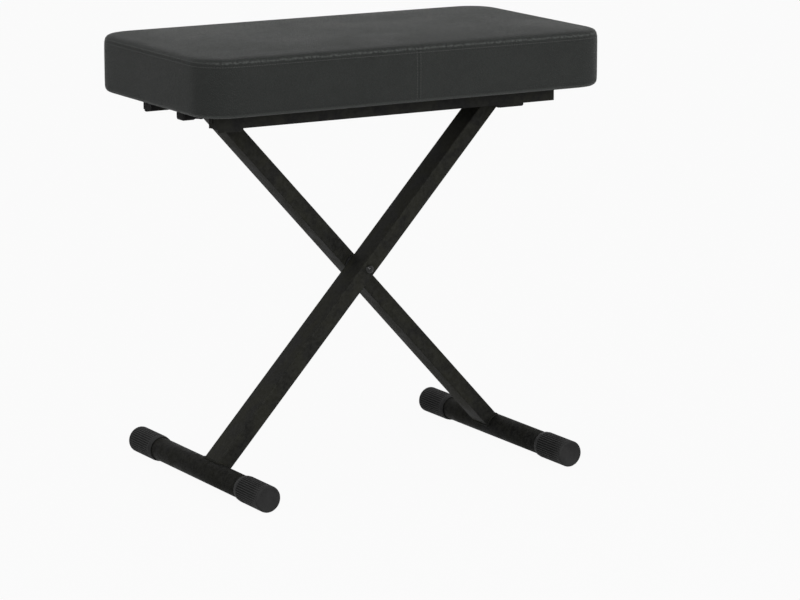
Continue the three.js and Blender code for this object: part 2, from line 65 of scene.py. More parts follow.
SEAT = "seat"
FRONT_FRAME = "front_leg_frame"
REAR_FRAME = "rear_leg_frame"
LEGS = (("front_leg", FRONT_FRAME), ("rear_leg", REAR_FRAME))

COVER_LOW, COVER_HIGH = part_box("seat_cover")
BOARD_LOW, BOARD_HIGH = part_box("seat_board")
BOARD_THICKNESS = BOARD_HIGH.z - BOARD_LOW.z

# Heights of the stitch rows, the puffed welt and fold, and the lines lightened as painted highlights
STITCH_ROWS = (COVER_HIGH.z - 0.0104, COVER_HIGH.z - 0.0152)
WELT = COVER_HIGH.z - 0.0110
FOLD = COVER_HIGH.z - 0.0160
CREST = COVER_HIGH.z - 0.0103
RIM = COVER_LOW.z + 0.0020

# Steelwork sizes that the welds, rail ends and caps fit
FOOT_TUBE_RADIUS = 0.0155
CROSS_TUBE_RADIUS = 0.0105
LEG_HALF_WIDTH = 0.0199
LEG_HALF_DEPTH = 0.01035
LEG_CORNER = 0.002
RAIL_DEPTH = 0.0230
RAIL_WALL = 0.002


def length(name, description, default, low=0.0):
    return FloatProperty(name=name, description=description, default=default, min=low, unit="LENGTH")


def shade(name, description, default):
    return FloatVectorProperty(
        name=name, description=description, default=default, subtype="COLOR", size=3, min=0, max=1,
    )


class BenchSizes(bpy.types.PropertyGroup):
    """Sizes of the upholstery, welds and mouldings."""

    corner_radius: length("Corner radius", "Rounding of the seat's corners in plan", 0.045, 0.01)
    top_edge_radius: length("Top edge radius", "Rounding between the seat's top and its sides", 0.012, 0.002)
    crown: length("Crown", "How far the middle of the seat stands above its edge", 0.004)
    voxel: length("Remesh size", "Spacing of the cloth's points before it is smoothed", 0.0055, 0.003)
    pressure: FloatProperty(
        name="Pressure", description="Air pressure that fills out the cover, low for firm foam", default=0.45, min=0.0,
    )
    hem_width: length("Hem width", "Cover turned in under the board", 0.024, 0.005)
    seam_x: length("Seam place", "Where the side band is joined, along the seat", 0.0065, COVER_LOW.x)
    stitch_pitch: length("Stitch pitch", "Distance from one stitch to the next", 0.0036, 0.001)
    stitch_radius: length("Thread radius", "Half the thickness of the sewing thread", 0.00034, 0.0001)
    staple_pitch: length("Staple pitch", "Distance between staples in the hem", 0.026, 0.01)
    rib_count: IntProperty(name="Cap ribs", description="Lengthwise ribs round each foot cap", default=36, min=8)
    rib_depth: length("Rib depth", "Height of the ribs of the foot caps", 0.0007, 0.0001)
    weld_radius: length("Weld radius", "Half the width of the weld beads", 0.0016, 0.0005)


class BenchColours(bpy.types.PropertyGroup):
    """Colours of the finishes, as linear values."""

    leatherette: shade("Leatherette", "Cover of the seat", (0.0382, 0.0408, 0.0388))
    coated_steel: shade("Coated steel", "Legs, feet and rails", (0.0160, 0.0160, 0.0150))
    cap_rubber: shade("Cap rubber", "Foot caps", (0.0310, 0.0310, 0.0310))
    plated_steel: shade("Plated steel", "Bolts, screws, notch rod and its cross tube", (0.56, 0.57, 0.58))
    plywood: shade("Stained plywood", "Dark-stained board under the seat", (0.060, 0.049, 0.037))


def sizes():
    return bpy.context.scene.bench_sizes


def colours():
    return bpy.context.scene.bench_colours


# Nodes of a tree


def feed(tree, node, inputs):
    """Sets a node's inputs, and links those whose value is another node's socket."""
    for key, value in inputs.items():
        socket = node.inputs[key]
        if isinstance(value, bpy.types.NodeSocket):
            tree.links.new(value, socket)
        else:
            socket.default_value = value


def assign(target, **settings):
    for name, value in settings.items():
        setattr(target, name, value)


def add(tree, kind, inputs, family="Shader", **settings):
    """The outputs of a new node of that kind."""
    node = tree.nodes.new(f"{family}Node{kind}")
    assign(node, **settings)
    feed(tree, node, inputs)
    return node.outputs


def calc(tree, operation, *values, clamp=False):
    return add(tree, "Math", dict(enumerate(values)), operation=operation, use_clamp=clamp)[0]


def product(tree, result, *factors):
    for factor in factors:
        result = calc(tree, "MULTIPLY", result, factor)
    return result


def vector(tree, operation, first, second=(0, 0, 0), scale=1.0):
    return add(tree, "VectorMath", {0: first, 1: second, 3: scale}, operation=operation)[0]


def split(tree, place):
    return add(tree, "SeparateXYZ", {0: place})


def joined(tree, x=0.0, y=0.0, z=0.0):
    return add(tree, "CombineXYZ", {0: x, 1: y, 2: z})[0]


def noise(tree, place, scale, detail, roughness=0.5, distortion=0.0):
    """The outputs of a Noise Texture node."""
    return add(tree, "TexNoise", {
        "Vector": place, "Scale": scale, "Detail": detail, "Roughness": roughness, "Distortion": distortion,
    })


def blended(tree, factor, first, second):
    return add(tree, "Mix", {0: factor, 6: first, 7: second}, data_type="RGBA")[2]


def spread(tree, value, low, high, to_low=0.0, to_high=1.0, **settings):
    """The value mapped from one span to another, clamped."""
    spans = {"Value": value, "From Min": low, "From Max": high, "To Min": to_low, "To Max": to_high}
    return add(tree, "MapRange", spans, **settings)[0]


def group_tree(name, kind, inputs, outputs):
    """An empty node group and its end nodes. An input is given as its kind of socket or as its default."""
    tree = bpy.data.node_groups.new(name, kind)
    kinds = {float: "Float", int: "Int", tuple: "Color"}
    for label, given in inputs.items():
        plain = given if isinstance(given, str) else kinds[type(given)]
        socket = tree.interface.new_socket(label, in_out="INPUT", socket_type=f"NodeSocket{plain}")
        if plain != given:
            socket.default_value = given
    for label, plain in outputs.items():
        tree.interface.new_socket(label, in_out="OUTPUT", socket_type=f"NodeSocket{plain}")
    return tree, tree.nodes.new("NodeGroupInput"), tree.nodes.new("NodeGroupOutput")


# Shared shader effects


def shared_group(name, inputs, outputs):
    """Turns a function that draws a group's nodes into one that places the group, which is built once."""
    def wrapped(draw):
        def put(user, *values):
            if name not in bpy.data.node_groups:
                tree, entry, leave = group_tree(name, "ShaderNodeTree", inputs, outputs)
                feed(tree, leave, dict(enumerate(draw(tree, *entry.outputs[:len(inputs)]))))
            return add(user, "Group", dict(enumerate(values)), node_tree=bpy.data.node_groups[name])
        return put
    return wrapped


@shared_group(
    "cloudy_patches",
    {"Vector": "Vector", "Patch Scale": 20.0, "Contrast": 0.5, "First Color": (0.1, 0.1, 0.1, 1.0),
     "Second Color": (0.2, 0.2, 0.2, 1.0), "Low Roughness": 0.4, "High Roughness": 0.6},
    {"Color": "Color", "Roughness": "Float", "Mask": "Float"},
)
def clouds(tree, place, scale, contrast, first, second, low, high):
    """Two colours in slow cloudy patches, with roughness that follows them."""
    slow = noise(tree, place, scale, 5.0, 0.62, 0.4)[0]
    half = product(tree, contrast, 0.2)
    mask = spread(tree, slow, calc(tree, "ADD", 0.3, half), calc(tree, "SUBTRACT", 0.7, half))
    fine = noise(tree, place, product(tree, scale, 14.0), 3.0, 0.6)[0]
    both = calc(tree, "ADD", mask, spread(tree, fine, 0.35, 0.65, -0.12, 0.12), clamp=True)
    return blended(tree, both, first, second), spread(tree, both, 0.0, 1.0, low, high), both


@shared_group(
    "pebbled_grain", {"Vector": "Vector", "Cell Scale": 600.0, "Wander": 0.0012},
    {"Height": "Float", "Crease": "Float"},
)
def pebbles(tree, place, scale, wander):
    """Pebbled grain: rounded cells of uneven size with fine creases between them."""
    drift = vector(tree, "SUBTRACT", noise(tree, place, 130.0, 2.0)["Color"], (0.5, 0.5, 0.5))
    warped = vector(tree, "ADD", place, vector(tree, "SCALE", drift, scale=wander))
    cells = {"Vector": warped, "Scale": scale, "Randomness": 1.0}
    away = add(tree, "TexVoronoi", cells, feature="DISTANCE_TO_EDGE")["Distance"]
    dome = calc(tree, "POWER", spread(tree, away, 0.0, 0.42), 0.6)
    small = noise(tree, place, product(tree, scale, 2.2), 2.0)[0]
    return calc(tree, "ADD", dome, product(tree, small, 0.35)), spread(tree, away, 0.0, 0.16, 1.0, 0.0)


@shared_group(
    "rubbed_edges",
    {"Vector": "Vector", "Amount": 0.5, "Color": (0.1, 0.1, 0.1, 1.0), "Worn Color": (0.3, 0.3, 0.3, 1.0)},
    {"Color": "Color", "Mask": "Float"},
)
def rubbed_edges(tree, place, amount, colour, worn):
    """Where a bevelled edge has rubbed: the piece's own edge attribute broken up by noise."""
    edge = add(tree, "Attribute", {}, attribute_name="edge_wear")["Fac"]
    broken = spread(tree, noise(tree, place, 160.0, 4.0, 0.7)[0], 0.38, 0.62)
    mask = calc(tree, "MULTIPLY", product(tree, edge, broken), amount, clamp=True)
    return blended(tree, mask, colour, worn), mask


@shared_group("seam_band", {"Value": 0.0, "Centre": 0.0, "Half Width": 0.001}, {"Mask": "Float"})
def band(tree, value, centre, half_width):
    """A soft band round one value of a coordinate, such as a seam line."""
    away = calc(tree, "ABSOLUTE", calc(tree, "SUBTRACT", value, centre))
    return [spread(tree, away, half_width, 0.0, interpolation_type="SMOOTHSTEP")]


# Materials


def rgba(colour, factor=1.0):
    return (*[c * factor for c in colour], 1.0)


def new_material(name):
    """A material with only its Principled shader, and the piece's own coordinates."""
    material = bpy.data.materials.new(name)
    material.use_nodes = True
    tree = material.node_tree
    return material, tree, tree.nodes["Principled BSDF"], add(tree, "TexCoord", {})["Object"]


def bump(tree, height, distance, strength=1.0, after=(0, 0, 0)):
    """The normal of a Bump node, laid over another where one is given."""
    inputs = {"Height": height, "Distance": distance, "Strength": strength, "Normal": after}
    return add(tree, "Bump", inputs)[0]


def leatherette():
    """Pebbled cover: puckered along its stitching, with painted shade in its sunk side seam and grain creases, and
    painted highlights along the welt's crest and the bottom rim.
    """
    material, tree, shader, place = new_material("black_leatherette")
    base = colours().leatherette
    patch = clouds(tree, place, 9.0, 0.2, rgba(base, 0.9), rgba(base, 1.12), 0.44, 0.54)
    grain = pebbles(tree, place, 430.0, 0.002)
    x, y, z = split(tree, place)
    front = spread(tree, y, -0.150, -0.156)
    below = spread(tree, z, COVER_HIGH.z - 0.0075, COVER_HIGH.z - 0.0085)
    # Painted shade along the sunk side seam, on the front below the top edge
    seam = product(tree, band(tree, x, sizes().seam_x, 0.0013)[0], front, below)
    pucker = noise(tree, place, 260.0, 1.0)[0]
    fold = product(tree, band(tree, z, FOLD, 0.0022)[0], 0.45)
    ridges = calc(tree, "ADD", band(tree, z, WELT, 0.0027)[0], fold)
    ridges = product(tree, ridges, spread(tree, pucker, 0.3, 0.7, 0.55, 1.35))
    # Painted highlight along the welt's crest, broken up by the puckers and weaker towards the ends
    crest_highlight = product(tree, band(tree, z, CREST, 0.0026)[0], spread(tree, pucker, 0.38, 0.62, 0.05, 1.0))
    ends = spread(tree, calc(tree, "ABSOLUTE", x), 0.270, 0.296, 1.0, 0.25)
    # Painted highlight along the bottom rim, where the floor lights the edge
    rim_highlight = band(tree, z, RIM, 0.0045)[0]
    colour = patch["Color"]
    # The grain's creases are darkened with painted shade
    for mask, amount, factor in (
        (grain["Crease"], 0.35, 0.45), (crest_highlight, ends, 2.7), (rim_highlight, 0.8, 2.0), (seam, 0.22, 0.4),
    ):
        colour = blended(tree, product(tree, mask, amount), colour, rgba(base, factor))
    slack = bump(tree, noise(tree, place, 16.0, 2.0)[0], 0.0012)
    sewn = bump(tree, calc(tree, "SUBTRACT", ridges, product(tree, seam, 0.35)), 0.0010, after=slack)
    feed(tree, shader, {
        "Base Color": colour,
        "Roughness": calc(tree, "ADD", patch["Roughness"], product(tree, grain["Crease"], 0.12)),
        "Normal": bump(tree, grain["Height"], 0.00085, after=sewn),
        "Specular IOR Level": 0.08,
    })
    return material


def hard_surface(name, patches, roughness, skin, worn=None, groove=None, brushed=None, gloss=0.5, metallic=0.0):
    """Cloudy patches and a fine skin, with rubbed edges, grooves darkened with painted shade and polishing lines where
    they are given.

    The patches are their scale, contrast and two colours, the skin is the scale, detail, depth and strength of
    its bump, and the worn edges are their amount and colour.
    """
    material, tree, shader, place = new_material(name)
    patch = clouds(tree, place, *patches, *roughness)
    colour = patch["Color"]
    if worn:
        colour = rubbed_edges(tree, place, worn[0], colour, worn[1])["Color"]
    if groove:
        # Painted shade: the grooves of a ribbed piece are darkened towards the groove colour
        depth = add(tree, "Attribute", {}, attribute_name="groove")["Fac"]
        colour = blended(tree, spread(tree, depth, 0.42, 0.85, 0.0, 0.97), colour, groove)
    if brushed:
        place = vector(tree, "MULTIPLY", place, brushed)
    fine = noise(tree, place, *skin[:2])[0]
    feed(tree, shader, {
        "Base Color": colour, "Roughness": patch["Roughness"], "Normal": bump(tree, fine, *skin[2:]),
        "Specular IOR Level": gloss, "Metallic": metallic,
    })
    return material


def coated_steel(name, tint=(1.0, 1.0, 1.0), worn=0.35, patches=28.0, rough=0.54, gloss=0.04):
    """Black powder coat: faint warm and grey clouds, a fine orange-peel skin and rubbed edges."""
    base = [c * t for c, t in zip(colours().coated_steel, tint)]
    warm = (base[0] * 1.42, base[1] * 1.42, base[2] * 1.18, 1.0)
    return hard_surface(
        name, (patches, 0.5, rgba(base, 0.8), warm), (rough, rough + 0.14), (900.0, 2.0, 0.00006, 0.8),
        worn=(worn, (0.055, 0.055, 0.050, 1.0)), gloss=gloss,
    )


def rubber(name, factor, rough):
    """Moulded rubber: dull, a little dusty in patches, with a fine matt texture and grooves darkened with painted
    shade.
    """
    base = colours().cap_rubber
    return hard_surface(
        name, (60.0, 0.3, rgba(base, 0.85 * factor), rgba(base, 1.2 * factor)), (rough - 0.06, rough + 0.08),
        (1400.0, 3.0, 0.00010, 0.8), worn=(0.3, rgba(base, 2.2)), groove=rgba(base, 0.04), gloss=0.05,
    )


def plated(name, factor, rough, brushed=None):
    """Zinc or chrome plate: bright, with faint clouds and fine polishing lines."""
    base = colours().plated_steel
    return hard_surface(
        name, (90.0, 0.4, rgba(base, 0.88 * factor), rgba(base, 1.08 * factor)), (rough - 0.05, rough + 0.07),
        (700.0, 3.0, 0.00005, 0.8), worn=(0.4, rgba(base, 1.25)), brushed=brushed, metallic=1.0,
    )


def nylon():
    return hard_surface(
        "black_nylon", (80.0, 0.2, rgba([0.012] * 3), rgba([0.020] * 3)), (0.42, 0.52),
        (1100.0, 2.0, 0.00008, 0.7), gloss=0.1,
    )


def plywood():
    """Dark-stained birch ply: long figured grain on its faces and darker glue lines round its edge."""
    material, tree, shader, place = new_material("birch_plywood")
    base = colours().plywood
    figure = noise(tree, vector(tree, "MULTIPLY", place, (1.2, 16.0, 16.0)), 6.0, 6.0, 0.62, 0.8)[0]
    face = blended(tree, spread(tree, figure, 0.35, 0.66), rgba(base, 0.82), rgba(base, 1.15))
    depth = calc(tree, "SUBTRACT", split(tree, place)["Z"], BOARD_LOW.z)
    glue = spread(tree, calc(tree, "PINGPONG", depth, BOARD_THICKNESS / 14), 0.0, 0.00016, 1.0, 0.0)
    above = spread(tree, depth, 0.0003, 0.0006)
    under = spread(tree, depth, BOARD_THICKNESS - 0.0003, BOARD_THICKNESS - 0.0006)
    feed(tree, shader, {
        "Base Color": blended(tree, product(tree, glue, above, under), face, rgba(base, 0.35)),
        "Roughness": spread(tree, figure, 0.3, 0.7, 0.62, 0.8),
        "Normal": bump(tree, figure, 0.0002, 0.6),
    })
    return material


def thread():
    """Spun thread: twisted strands shown as slanted lines, painted paler than the cover as a painted glint."""
    material, tree, shader, place = new_material("black_thread")
    twist = {"Vector": place, "Scale": 900.0, "Distortion": 1.0}
    wave = add(tree, "TexWave", twist, bands_direction="DIAGONAL")["Fac"]
    feed(tree, shader, {
        "Base Color": blended(tree, wave, (0.042, 0.044, 0.042, 1.0), (0.082, 0.085, 0.082, 1.0)),
        "Roughness": spread(tree, wave, 0.0, 1.0, 0.55, 0.75),
        "Normal": bump(tree, wave, 0.00008, 0.8),
    })
    return material


FINISHES = {
    "leatherette": leatherette,
    "leg_steel": lambda: coated_steel("black_powder_coat"),
    # Feet: the legs' coat at half its colour as painted shade, with slightly lower roughness and gloss
    "foot_steel": lambda: coated_steel("satin_black_coat", (0.50, 0.50, 0.52), 0.35, 34.0, 0.50, 0.02),
    "rail_steel": lambda: coated_steel("matt_black_coat", (1.02, 1.03, 1.14), 0.25, 40.0),
    "cap_rubber": lambda: rubber("cap_rubber", 1.0, 0.55),
    "buffer_rubber": lambda: rubber("buffer_rubber", 0.55, 0.66),
    "bright_steel": lambda: plated("chrome_plate", 1.05, 0.2, (1.0, 0.06, 1.0)),
    "fastener_zinc": lambda: plated("zinc_plate", 0.95, 0.32),
    "blackened_steel": lambda: coated_steel("blackened_steel", (0.7, 0.7, 0.74), 0.4, 60.0, 0.06, 0.26),
    "nylon": nylon,
    "plywood": plywood,
    "thread": thread,
}


@cache
def finish(name):
    """The material of that name, built when it is first asked for."""
    return FINISHES[name]()


# Meshes


def linked(name, mesh):
    obj = bpy.data.objects.new(name, mesh)
    bpy.context.scene.collection.objects.link(obj)
    return obj


def mesh_object(name, points, faces=(), edges=()):
    mesh = bpy.data.meshes.new(name)
    mesh.from_pydata([tuple(p) for p in points], list(edges), list(faces))
    mesh.update()
    return linked(name, mesh)


def pairs(loop):
    """Each item of a closed loop with the next."""
    return list(zip(loop, loop[1:] + loop[:1]))


def path_edges(first, end, closed=True):
    """Edges along a path of points, and back to its first where it is closed."""
    return [(i, i + 1) for i in range(first, end - 1)] + [(end - 1, first)] * closed


@contextmanager
def edited(mesh, write=True):
    """The mesh as a bmesh, which is written back at the end unless it is only read."""
    form = bmesh.new()
    form.from_mesh(mesh)
    yield form
    if write:
        form.to_mesh(mesh)
    form.free()


def lofted(name, loops):
    """A closed form through loops that have as many points each."""
    count, size = len(loops[0]), sum(map(len, loops))
    faces = [
        (k + i, k + count + i, k + count + (i + 1) % count, k + (i + 1) % count)
        for k in range(0, size - count, count) for i in range(count)
    ]
    faces += [tuple(range(count)), tuple(reversed(range(size - count, size)))]
    obj = mesh_object(name, [p for loop in loops for p in loop], faces)
    with edited(obj.data) as form:
        bmesh.ops.recalc_face_normals(form, faces=form.faces)
    return obj


def settled(obj):
    """The object with its modifiers made part of its mesh."""
    evaluated = obj.evaluated_get(bpy.context.evaluated_depsgraph_get())
    mesh = bpy.data.meshes.new_from_object(evaluated)
    obj.modifiers.clear()
    old = obj.data
    obj.data = mesh
    mesh.name = obj.name
    bpy.data.meshes.remove(old)
    return obj


def painted(obj, material):
    obj.data.materials.clear()
    obj.data.materials.append(material)
    for polygon in obj.data.polygons:
        polygon.material_index = 0
    return obj


def smooth(obj, angle=32):
    obj.data.shade_smooth()
    obj.data.set_sharp_from_angle(angle=math.radians(angle))
    return obj


def mark_edges(obj, low=12.0):
    """Stores how sharply each point stands out, for the rubbed edges."""
    values = []
    with edited(obj.data, write=False) as form:
        for vertex in form.verts:
            turns = [e.calc_face_angle_signed(0.0) for e in vertex.link_edges if len(e.link_faces) == 2]
            values.append(min(max((math.degrees(max(turns, default=0.0)) - low) / 15.0, 0.0), 1.0))
    obj.data.attributes.new("edge_wear", "FLOAT", "POINT").data.foreach_set("value", values)
    return obj


def modified(obj, name, kind, **settings):
    """The object with a modifier's result as its mesh."""
    assign(obj.modifiers.new(name, kind), **settings)
    return settled(obj)


def eased(obj, width, segments=2, angle=38.0):
    """The object with its sharp edges bevelled."""
    limit = {"limit_method": "ANGLE", "angle_limit": math.radians(angle)}
    return modified(obj, "eased_edges", "BEVEL", width=width, segments=segments, **limit)


def on_body(obj, body, slot, *nodes):
    """Puts the piece on its body, in place of the solids it stands for. The slot is not used."""
    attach(obj, body)
    if nodes:
        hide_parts(*nodes)


def dressed(node, material, body, bevel=0.0004, segments=2):
    """A copy of a solid with its edges eased, which stands for it."""
    mesh = frame["nodes"][node].data.copy()
    with edited(mesh) as form:
        bmesh.ops.remove_doubles(form, verts=form.verts, dist=2e-6)
        bmesh.ops.dissolve_limit(
            form, angle_limit=math.radians(0.5), verts=form.verts, edges=form.edges, use_dissolve_boundaries=False,
        )
    obj = eased(linked(f"{node}_finished", mesh), bevel, segments)
    mark_edges(smooth(painted(obj, finish(material))))
    on_body(obj, body, SLOTS[node], node)


def grown(obj, build, material, **values):
    """Runs a geometry tree on the object and keeps its result as the object's mesh."""
    tree = build()
    modifier = obj.modifiers.new(tree.name, "NODES")
    modifier.node_group = tree
    values = {"Material": finish(material), **{label.replace("_", " "): value for label, value in values.items()}}
    for item in tree.interface.items_tree:
        if item.item_type == "SOCKET" and item.in_out == "INPUT" and item.name in values:
            modifier[item.identifier] = values[item.name]
    return settled(obj)


def geo(tree, kind, inputs, **settings):
    """The first output of a new geometry node."""
    return add(tree, kind, inputs, "Geometry", **settings)[0]


def pattern(name, inputs):
    """Turns a function that draws a geometry into one that builds its whole tree, once."""
    def wrapped(draw):
        def build():
            if name in bpy.data.node_groups:
                return bpy.data.node_groups[name]
            sockets = {"Geometry": "Geometry", **inputs, "Material": "Material"}
            tree, entry, leave = group_tree(name, "GeometryNodeTree", sockets, {"Geometry": "Geometry"})
            *given, material = entry.outputs[:len(sockets)]
            real = geo(tree, "RealizeInstances", {"Geometry": draw(tree, *given)})
            shaded = geo(tree, "SetShadeSmooth", {"Geometry": real})
            feed(tree, leave, {0: geo(tree, "SetMaterial", {"Geometry": shaded, "Material": material})})
            return tree
        return build
    return wrapped


def even_curve(tree, path, pitch):
    """The path's edges as a curve with a point at each pitch."""
    curve = geo(tree, "MeshToCurve", {"Mesh": path})
    return geo(tree, "ResampleCurve", {"Curve": curve, "Length": pitch}, mode="LENGTH")


def along_path(tree, path, pitch, instance, spin=None):
    """Instances set along the path's edges, their Z axis on the path."""
    tangent = geo(tree, "InputTangent", {})
    turn = add(tree, "AlignRotationToVector", {"Vector": tangent}, "Function", axis="Z")[0]
    if spin is not None:
        turn = add(tree, "RotateRotation", {"Rotation": turn, "Rotate By": spin}, "Function")[0]
    placed = {"Points": even_curve(tree, path, pitch), "Instance": instance, "Rotation": turn}
    return geo(tree, "InstanceOnPoints", placed)


@pattern("thread_stitches", {"Pitch": 0.0036, "Thread Radius": 0.0004})
def stitch_tree(tree, path, pitch, radius):
    """A slim oval stitch at each pitch."""
    ball = geo(tree, "MeshUVSphere", {"Segments": 8, "Rings": 6, "Radius": 1.0})
    size = joined(tree, radius, radius, product(tree, pitch, 0.38))
    stitch = geo(tree, "Transform", {"Geometry": ball, "Scale": size})
    return along_path(tree, path, pitch, stitch)


@pattern("hem_staples", {"Pitch": 0.026, "Crown": 0.010, "Wire Radius": 0.00035, "Seed": 7})
def staple_tree(tree, path, pitch, crown, radius, seed):
    """The crown of a staple at each pitch, each turned a little its own way."""
    half = product(tree, crown, 0.5)
    ends = {"Start": joined(tree, z=product(tree, half, -1.0)), "End": joined(tree, z=half)}
    wire = geo(tree, "CurvePrimitiveLine", ends)
    section = geo(tree, "CurvePrimitiveCircle", {"Resolution": 6, "Radius": radius})
    bar = geo(tree, "CurveToMesh", {"Curve": wire, "Profile Curve": section, "Fill Caps": True})
    tilt = {"Min": (-0.16, 0.0, 0.0), "Max": (0.16, 0.0, 0.0), "Seed": seed}
    turn = add(tree, "RandomValue", tilt, "Function", data_type="FLOAT_VECTOR")[0]
    return along_path(tree, path, pitch, bar, add(tree, "EulerToRotation", {"Euler": turn}, "Function")[0])


@pattern("weld_beads", {"Bead Radius": 0.0016, "Ripple Pitch": 0.0022, "Ripple": 0.14})
def weld_tree(tree, path, radius, pitch, ripple):
    """A bead along the path, rippled and a little uneven."""
    along = add(tree, "SplineParameter", {}, "Geometry")["Length"]
    phase = product(tree, calc(tree, "DIVIDE", along, pitch), 2 * math.pi)
    wave = product(tree, calc(tree, "SINE", phase), ripple)
    rough = noise(tree, geo(tree, "InputPosition", {}), 260.0, 2.0)[0]
    uneven = product(tree, calc(tree, "SUBTRACT", rough, 0.5), 0.9)
    size = calc(tree, "ADD", calc(tree, "ADD", wave, uneven), 1.0)
    section = geo(tree, "CurvePrimitiveCircle", {"Resolution": 10, "Radius": 1.0})
    curve, scale = even_curve(tree, path, 0.00045), product(tree, size, radius)
    return geo(tree, "CurveToMesh", {"Curve": curve, "Profile Curve": section, "Scale": scale})


@pattern("cap_ribs", {
    "Centre": "Vector", "Rib Count": 44, "Rib Depth": 0.0007, "Half Length": 0.027, "Inner Radius": 0.0166,
})
def rib_tree(tree, cap, centre, count, depth, half_length, inner_radius):
    """Lengthwise ribs drawn into a turned cap whose axis runs along Y."""
    place = geo(tree, "InputPosition", {})
    x, y, z = split(tree, vector(tree, "SUBTRACT", place, centre))
    turns = product(tree, calc(tree, "ARCTAN2", x, product(tree, z, -1.0)), product(tree, count, 0.5))
    wave = calc(tree, "ABSOLUTE", calc(tree, "SINE", turns))
    inside = calc(tree, "SUBTRACT", half_length, calc(tree, "ABSOLUTE", y))
    mask = spread(tree, inside, 0.0, 0.0012)
    radial = joined(tree, x=x, z=z)
    reach = add(tree, "VectorMath", {0: radial}, operation="LENGTH")["Value"]
    outer = calc(tree, "GREATER_THAN", reach, inner_radius)
    groove = calc(tree, "POWER", wave, 2.2)
    sunk = product(tree, groove, mask, product(tree, outer, product(tree, depth, -1.0)))
    # The groove mask is stored for the painted shade in the cap's grooves
    stored = {"Geometry": cap, "Name": "groove", "Value": product(tree, wave, mask, outer)}
    shaded = geo(tree, "StoreNamedAttribute", stored, data_type="FLOAT", domain="POINT")
    offset = vector(tree, "SCALE", vector(tree, "NORMALIZE", radial), scale=sunk)
    return geo(tree, "SetPosition", {"Geometry": shaded, "Offset": offset})


@pattern("set_screws", {"Screw": "Object"})
def scatter_tree(tree, points, screw):
    """A copy of another object on each point."""
    copied = add(tree, "ObjectInfo", {"Object": screw}, "Geometry")["Geometry"]
    return geo(tree, "InstanceOnPoints", {"Points": points, "Instance": copied})


def turned(name, profile, segments, place=(0, 0, 0), turn=0):
    """A closed form turned from (radius, height) pairs, whose ends lie on the axis, then tipped about X."""
    mesh = bpy.data.meshes.new(name)
    with edited(mesh) as form:
        rings = []
        for radius, height in profile:
            angles = [2 * math.pi * i / segments for i in range(segments if radius > 0 else 1)]
            ring = [form.verts.new((radius * math.cos(a), radius * math.sin(a), height)) for a in angles]
            rings.append(ring * (segments // len(ring)))
        for lower, upper in zip(rings, rings[1:]):
            for (a, b), (c, d) in zip(pairs(lower), pairs(upper)):
                form.faces.new(list(dict.fromkeys((a, b, d, c))))
        bmesh.ops.remove_doubles(form, verts=form.verts, dist=1e-7)
        bmesh.ops.recalc_face_normals(form, faces=form.faces)
    mesh.transform(Matrix.Translation(place) @ Matrix.Rotation(math.radians(turn), 4, "X"))
    return linked(name, mesh)


def rounded_corners(half_x, half_y, radius, steps):
    """The corner arcs of a rounded rectangle in turn, as points with their outward directions."""
    arcs = []
    for sx, sy, start in ((1, -1, -90), (1, 1, 0), (-1, 1, 90), (-1, -1, 180)):
        centre = Vector((sx * (half_x - radius), sy * (half_y - radius)))
        angles = [math.radians(start + 90 * i / steps) for i in range(steps + 1)]
        outs = [Vector((math.cos(a), math.sin(a))) for a in angles]
        arcs.append([(centre + radius * out, out) for out in outs])
    return arcs


# The seat


def outline(inset, corner_steps=14, spacing=0.006):
    """Points round the cushion in plan, drawn in by the inset, each with its outward direction."""
    half = Vector((COVER_HIGH.x - inset, COVER_HIGH.y - inset))
    arcs = rounded_corners(half.x, half.y, max(sizes().corner_radius - inset, 0.004), corner_steps)
    points = []
    for arc, following in pairs(arcs):
        (last, out), (after, _) = arc[-1], following[0]
        steps = max(2, round((after - last).length / spacing))
        points += arc + [(last.lerp(after, i / steps), out) for i in range(1, steps)]
    return points


def cushion_blank():
    """The closed form that the cover is inflated from, a little smaller than the finished seat."""
    edge = sizes().top_edge_radius * 0.7
    top = COVER_HIGH.z - sizes().crown
    rings = [(share * COVER_HIGH.y, top + sizes().crown * 0.1 * share) for share in (0.9, 0.6, 0.35, 0.2)]
    for i in range(7):
        a = math.radians(15 * i)
        rings.append((0.0015 + edge * (1 - math.sin(a)), top - edge * (1 - math.cos(a))))
    rings += [(0.0015, COVER_LOW.z + 0.03), (0.0015, COVER_LOW.z + 0.004), (0.0045, COVER_LOW.z)]
    rings += [(share * COVER_HIGH.y, COVER_LOW.z) for share in (0.3, 0.6, 0.9)]
    loops = [[(*p, height) for p, _ in outline(inset)] for inset, height in rings]
    count = max(map(len, loops))
    return lofted("cushion", [resampled(loop, count) for loop in loops])


def resampled(loop, count):
    """The closed loop with that many points, evenly spread along it."""
    spans = pairs([Vector(p) for p in loop])
    lengths = [(after - p).length for p, after in spans]
    total = sum(lengths)
    made, at, i = [], 0.0, 0
    for k in range(count):
        target = total * k / count
        while at + lengths[i] < target:
            at += lengths[i]
            i += 1
        p, after = spans[i]
        made.append(tuple(p.lerp(after, (target - at) / max(lengths[i], 1e-12))))
    return made


